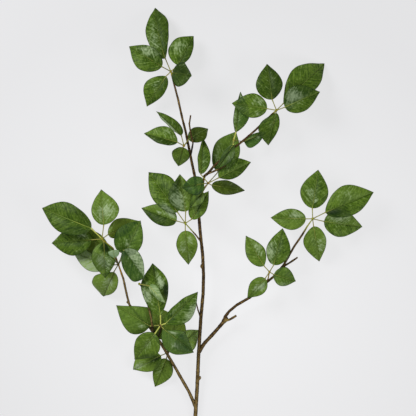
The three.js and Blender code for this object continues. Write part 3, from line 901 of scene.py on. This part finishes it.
def bark_material():
    build = Nodes("bark")
    keys = ("young", "orange", "dark", "beige")
    young, orange, dark, beige = (build.attribute(key)["Fac"] for key in keys)
    upward = build.parts(build.place())[1]
    patches = build.noise(*BARK_PATCHES)
    low = build.mix(patches, rgb(94, 76, 38), rgb(134, 114, 72))
    high = build.mix(patches, rgb(60, 44, 20), rgb(94, 72, 42))
    darkening = build.between(upward, *(place * MM for place in BARK_DARKENS))
    color = build.mix(build.math("ADD", darkening, dark, clamp=True), low, high)
    patterns = {"blotches": build.noise(*BARK_BLOTCHES), "specks": build.noise(*BARK_SPECKS)}
    color = build.lay_marks(color, patterns, BARK_MARKS)
    fresh = build.between(young, *YOUNG_COLORS)
    color = build.mix(fresh, color, build.mix(orange, rgb(146, 152, 44), rgb(152, 108, 32)))
    color = build.tint(color, beige, BEIGE_STRENGTH, rgb(160, 138, 78))
    # Painted shade on the bark's sides and undersides, weaker on young wood
    loss = build.share(fresh, YOUNG_FLANK_LOSS)
    flank_strength = build.math("SUBTRACT", BARK_FLANK_STRENGTH, loss)
    color = build.tint(color, build.painted_flank_shade(), flank_strength, rgb(22, 15, 4))
    heart = build.mix(build.noise(*HEARTWOOD), rgb(176, 156, 108), rgb(204, 188, 144))
    color = build.mix(build.between(upward, *(cad_low.y + far * MM for far in CUT_FACE)), color, heart)
    build.bump(build.noise(*BARK_BUMPS), strength=0.5, distance=0.5)
    return build.finish(color, roughness=0.75, specular=0.1)


def floor_material():
    """Near white and lit through, a little brighter in the middle, so that shadows stay faint."""
    build = Nodes("floor")
    build.shader.inputs["Emission Color"].default_value = rgb(236, 236, 237)
    middle = Vector(GLOW_MIDDLE) * MM
    away = build.node("VectorMath", {0: build.place(), 1: middle}, operation="DISTANCE")["Value"]
    near, far = (reach * MM for reach in GLOW_REACH)
    glow = build.node("MapRange", dict(enumerate((away, near, far, *GLOW_STRENGTH))))[0]
    build.feed(build.shader.inputs["Emission Strength"], glow)
    return build.finish(rgb(96, 96, 98), roughness=1.0, specular=0.0)


# Looks of the leaflets, by whorl and number, where they differ from the usual:
# light, painted_sheen   painted light or shade, and painted highlight, of the (left, right) half,
#                        looking from base to tip; below 0 is darker or duller
# painted_highlight,     soft patches of painted highlight or of painted shade, each (place along, place
# shade                  across, size, amount); the place across is 1 at the left edge and -1 at the
#                        right; a shade below 0 lightens
# blue                   1 for a blue-green leaf, below 0 for an olive one: partly the leaf's own tint and
#                        partly painted light, blue-green for shade and olive for light shining through
# rib                    how pale the midrib's line is, partly its own paler colour and partly painted highlight
# stalk                  1 for a brown stalk, 0 for a fresh one, -1 for a bright yellow-green one
# thick                  how many times thicker than usual the stalk is
# turned                 whether the pale underside shows from above
USUAL_LOOK = dict(
    light=(0, 0), painted_sheen=(0, 0), painted_highlight=(), shade=(), blue=0, rib=0.5, stalk=0.3, thick=1, turned=False
)
LOOKS = {
    "crown": {
        1: dict(light=(-0.1, -0.34), painted_highlight=[(0.3, 0.45, 0.24, 0.3), (0.6, 0.4, 0.2, 0.2)], rib=0.3),
        2: dict(light=(-0.08, -0.12), painted_highlight=[(0.5, -0.5, 0.28, 0.45)], rib=0.1),
        3: dict(light=(0.0, -0.32), painted_highlight=[(0.5, 0.5, 0.28, 0.35)], rib=0.1),
        4: dict(light=(-0.5, -0.4), rib=0.0),
        5: dict(light=(-0.25, 0.0), painted_highlight=[(0.35, -0.3, 0.16, 0.35)]),
    },
    "upper_left": {
        1: dict(light=(-0.04, -0.2), painted_highlight=[(0.5, 1.4, 0.32, 2.0), (0.4, 0.9, 0.15, 0.5)], rib=0.2),
        2: dict(light=(-0.38, 0.06), painted_highlight=[(0.3, -0.6, 0.22, 0.28)], rib=0.2),
        3: dict(light=(0.12, 0.12), blue=-0.1, rib=0.3),
        4: dict(light=(-0.35, -0.35), blue=-0.35, rib=0.2),
    },
    "upper_right_end": {
        1: dict(light=(-0.26, -0.42), rib=0.4),
        2: dict(light=(0.02, -0.15), rib=0.8),
        3: dict(light=(-0.13, -0.18), painted_highlight=[(0.3, 0.45, 0.25, 0.6)], rib=0.9),
        4: dict(light=(0.03, -0.01), painted_highlight=[(0.25, -0.5, 0.18, 0.4), (0.2, 0.6, 0.12, 0.35)]),
        5: dict(light=(-0.18, -0.18), rib=0.3),
    },
    "upper_right": {
        1: dict(
            light=(0.08, -0.02), painted_highlight=[(0.3, 0.7, 0.3, 0.3), (1.1, 0.0, 0.2, 3.0)],
            shade=[(1.1, 0.0, 0.2, -1.5)], blue=0.4, stalk=-0.4, thick=1.7,
        ),
        2: dict(light=(0.05, 0.05), painted_highlight=[(0.3, 0.2, 0.12, 0.6), (0.6, -0.3, 0.12, 0.5)], blue=0.85),
        3: dict(light=(0.3, 0.25), painted_highlight=[(0.4, 0.8, 0.4, 0.3)], blue=0.9, stalk=-0.6, thick=1.7),
    },
    "centre_right": {
        1: dict(light=(0.0, -0.32), painted_highlight=[(0.4, 0.5, 0.2, 0.15)]),
        2: dict(light=(0.13, 0.13), painted_highlight=[(0.3, 0.6, 0.2, 0.3)], blue=0.2),
        3: dict(light=(-0.35, -0.25), blue=-0.4, rib=0.2),
        4: dict(light=(0.57, 0.32), painted_sheen=(0.2, 0.0), blue=0.5),
        5: dict(blue=0.6, rib=0.0),
        6: dict(light=(0.08, -0.07), painted_highlight=[(0.3, -0.4, 0.15, 0.3)], rib=0.2),
    },
    "centre_left": {
        1: dict(light=(0.02, -0.05), painted_highlight=[(0.15, 0.7, 0.18, 0.6)]),
        2: dict(
            light=(-0.01, 0.12), painted_highlight=[(0.3, 0.45, 0.3, 0.6)], shade=[(0.75, 0.5, 0.2, 0.5)], blue=-0.1,
            rib=0.2,
        ),
        3: dict(light=(-0.36, 0.18), painted_highlight=[(0.2, -0.5, 0.2, 0.6), (0.5, -0.2, 0.08, 0.6)], rib=0.2),
        4: dict(
            light=(0.27, 0.27),
            painted_highlight=[(0.25, 0.4, 0.15, 0.45), (0.5, -0.4, 0.2, 0.45), (0.75, 0.3, 0.15, 0.4)],
            shade=[(0.55, 0.5, 0.12, 0.25)],
        ),
        5: dict(light=(0.15, 0.1), painted_highlight=[(0.6, 0.5, 0.2, 0.4)], rib=0.1),
    },
    "far_left": {
        1: dict(light=(-0.16, -0.14), shade=[(0.25, -0.8, 0.2, 0.3)], rib=0.7, stalk=-0.5, thick=1.5),
        2: dict(light=(-0.15, -0.12), painted_highlight=[(0.2, -0.4, 0.15, 0.45)], rib=0.2),
        3: dict(light=(0.16, 0.21), painted_highlight=[(0.4, -0.3, 0.3, 0.45), (0.25, 0.4, 0.22, 0.3)]),
        4: dict(light=(0.22, -0.03), painted_highlight=[(0.15, 0.7, 0.1, 0.35)], blue=-0.5, rib=0.1),
        5: dict(
            light=(0.12, 0.28), painted_highlight=[(0.6, 0.4, 0.2, 0.5), (0.5, -0.35, 0.2, 0.5)],
            shade=[(0.08, 0.3, 0.2, 1.2), (0.0, -0.3, 0.15, 0.7)], blue=0.3,
        ),
    },
    "left": {
        1: dict(light=(0.48, 0.38), painted_highlight=[(0.4, 0.1, 0.3, 0.5)], rib=0.8),
        2: dict(light=(0.75, 0.65), painted_sheen=(0.55, 0.5)),
        3: dict(light=(0.0, 0.05), painted_highlight=[(0.3, 0.1, 0.18, 0.3)], blue=0.3),
        4: dict(light=(0.05, -0.1), painted_sheen=(0.5, 0.05), shade=[(0.3, -0.5, 0.2, 0.15)], blue=0.6, rib=0.1),
        5: dict(blue=0.6, turned=True),
        6: dict(light=(0.25, 0.25), blue=-0.8, rib=0.2),
    },
    "small_left": {
        1: dict(turned=True),
    },
    "lower_left": {
        1: dict(
            light=(0.16, 0.19), painted_highlight=[(0.2, 0.3, 0.12, 0.4)], blue=0.3, rib=0.6, stalk=-0.8, thick=1.6,
        ),
        2: dict(
            light=(0.03, -0.02), painted_highlight=[(0.62, -0.45, 0.13, 0.7), (0.4, 0.75, 0.2, 0.55)],
            shade=[(0.45, -0.8, 0.14, 0.8), (0.92, 0.0, 0.14, 0.4)], rib=0.2, stalk=-0.8, thick=1.6,
        ),
        3: dict(
            light=(0.0, -0.05), painted_highlight=[(0.6, -1.0, 0.3, 0.55), (0.3, 0.5, 0.15, 0.3)], blue=0.2,
            stalk=-0.8, thick=1.6,
        ),
        4: dict(light=(0.12, 0.09), painted_highlight=[(0.4, 0.1, 0.16, 0.35)], stalk=-0.6, thick=1.5),
        5: dict(
            light=(0.16, 0.13), painted_highlight=[(0.22, 0.5, 0.14, 0.75), (0.5, -0.4, 0.12, 0.45)],
            shade=[(0.45, 0.5, 0.1, 0.3), (0.8, 0.0, 0.15, 0.2)], blue=0.75, stalk=0.1, thick=1.3,
        ),
    },
    "low_centre": {
        1: dict(light=(0.33, 0.3), painted_highlight=[(0.85, 0, 0.25, 0.7)], shade=[(0.15, 0, 0.22, 1.1)]),
        2: dict(light=(0.22, 0.18), painted_highlight=[(0.4, -0.3, 0.2, 0.3)]),
        3: dict(light=(0.9, 0.8), painted_sheen=(0.25, 0.25), blue=-0.3),
        4: dict(light=(0.15, 0.15), blue=-0.3),
        5: dict(light=(0.2, 0.2), blue=-0.5),
    },
    "right_end": {
        1: dict(light=(0.06, -0.08), painted_highlight=[(0.35, 0.3, 0.2, 0.35), (0.2, -0.2, 0.1, 0.4)], rib=1.0),
        2: dict(
            light=(0.13, -0.02), painted_highlight=[(0.5, 0.5, 0.2, 0.2)], shade=[(0.15, -0.4, 0.25, 0.55)], rib=0.1,
        ),
        3: dict(light=(0.1, 0.0), painted_highlight=[(0.35, 0.55, 0.3, 0.5)]),
        4: dict(light=(0.2, 0.13), painted_highlight=[(0.55, 0.5, 0.25, 0.4)], rib=0.7),
        5: dict(light=(0.15, 0.1), painted_highlight=[(0.3, -0.4, 0.25, 0.45)]),
    },
    "right": {
        1: dict(light=(0.11, 0.16), painted_highlight=[(0.5, -0.4, 0.25, 0.4)]),
        2: dict(light=(0.03, -0.1), painted_highlight=[(0.35, 0.65, 0.28, 0.5)]),
        3: dict(light=(0.08, 0.08), painted_highlight=[(0.5, -0.85, 0.2, 0.4)], blue=0.3),
        4: dict(light=(0.25, 0.18), painted_highlight=[(0.3, 0.4, 0.18, 0.7), (0.5, -0.1, 0.15, 0.6)], blue=0.2),
    },
}

# Leaflets that the others hide almost wholly. They are in no CAD node: each is a copy of another
# leaflet, turned by some degrees and stretched, on the whorl that its name gives.
HIDDEN_LEAFLETS = {
    "left_leaflet_6": ("centre_right_leaflet_1", 108, 1.1),
    "low_centre_leaflet_4": ("far_left_leaflet_3", 15, 1.0),
    "low_centre_leaflet_5": ("right_leaflet_2", 6, 1.0),
}


# Studio


def make_camera():
    camera = bpy.data.cameras.new("camera")
    camera.sensor_width = SENSOR
    camera.lens = SENSOR * CAMERA_RISE / VIEW_WIDTH
    camera.clip_end = VIEW_DEPTH * MM
    seen = bpy.data.objects.new("camera", camera)
    bpy.context.scene.collection.objects.link(seen)
    middle = (cad_low.x + cad_high.x) / 2
    top = cad_high.y + TOP_MARGIN * MM
    seen.location = middle, top - VIEW_WIDTH / 2 * MM, (VIEW_PLANE + CAMERA_RISE) * MM
    bpy.context.scene.camera = seen


def make_floor(material):
    mesh = bpy.data.meshes.new("floor")
    reach = FLOOR_REACH * MM
    corners = [(-reach, -reach, 0), (reach, -reach, 0), (reach, reach, 0), (-reach, reach, 0)]
    mesh.from_pydata(corners, [], [(0, 1, 2, 3)])
    mesh.materials.append(material)
    floor = bpy.data.objects.new("floor", mesh)
    floor.location.z = -FLOOR_DROP * MM
    bpy.context.scene.collection.objects.link(floor)


def add_softbox(name, place, size, power):
    """A round soft light, in watts, that faces the middle of the stem."""
    light = bpy.data.lights.new(name, "AREA")
    light.shape = "DISK"
    light.size = size * MM
    light.energy = power
    box = bpy.data.objects.new(name, light)
    box.location = Vector(place) * MM
    box.rotation_euler = (-Vector(place)).to_track_quat("-Z", "Y").to_euler()
    box.visible_camera = False
    bpy.context.scene.collection.objects.link(box)


def make_lights():
    add_softbox("key_softbox", place=(-1500, 1200, 1700), size=1300, power=52)
    add_softbox("fill_softbox", place=(1700, -800, 1600), size=1400, power=26)
    world = bpy.data.worlds.new("studio")
    world.use_nodes = True
    background = world.node_tree.nodes["Background"]
    background.inputs["Color"].default_value = grey(1)
    background.inputs["Strength"].default_value = WORLD_STRENGTH
    bpy.context.scene.world = world
    bpy.context.scene.view_settings.view_transform = "Standard"


make_camera()
make_floor(floor_material())
make_lights()

leaf_nodes = sorted(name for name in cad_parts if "leaflet" in name)
wood_nodes = sorted(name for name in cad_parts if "leaflet" not in name)
leaf_lines = {name: LeafletLines(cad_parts[name]) for name in leaf_nodes}
for name, (pattern, degrees, stretch) in HIDDEN_LEAFLETS.items():
    start, end = (whorl_middle(leaflet.partition("_leaflet")[0]) for leaflet in (pattern, name))
    leaf_lines[name] = leaf_lines[pattern].moved(start, end, degrees, stretch)
all_solids, owner_of_face = solids_to_cast_at()
leaf_look = [leaf_material(), stalk_material()]
for number, (name, lines) in enumerate(leaf_lines.items()):
    grow_leaflet(name, lines, number + 1, leaf_look)

stem_surface = surface_of(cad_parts["main_stem"])
bark_look = [bark_material()]
for number, name in enumerate(wood_nodes):
    carried_by = None if name == "main_stem" else stem_surface
    grow_wood(name, carried_by, number * WOOD_SEED_STEP, bark_look)
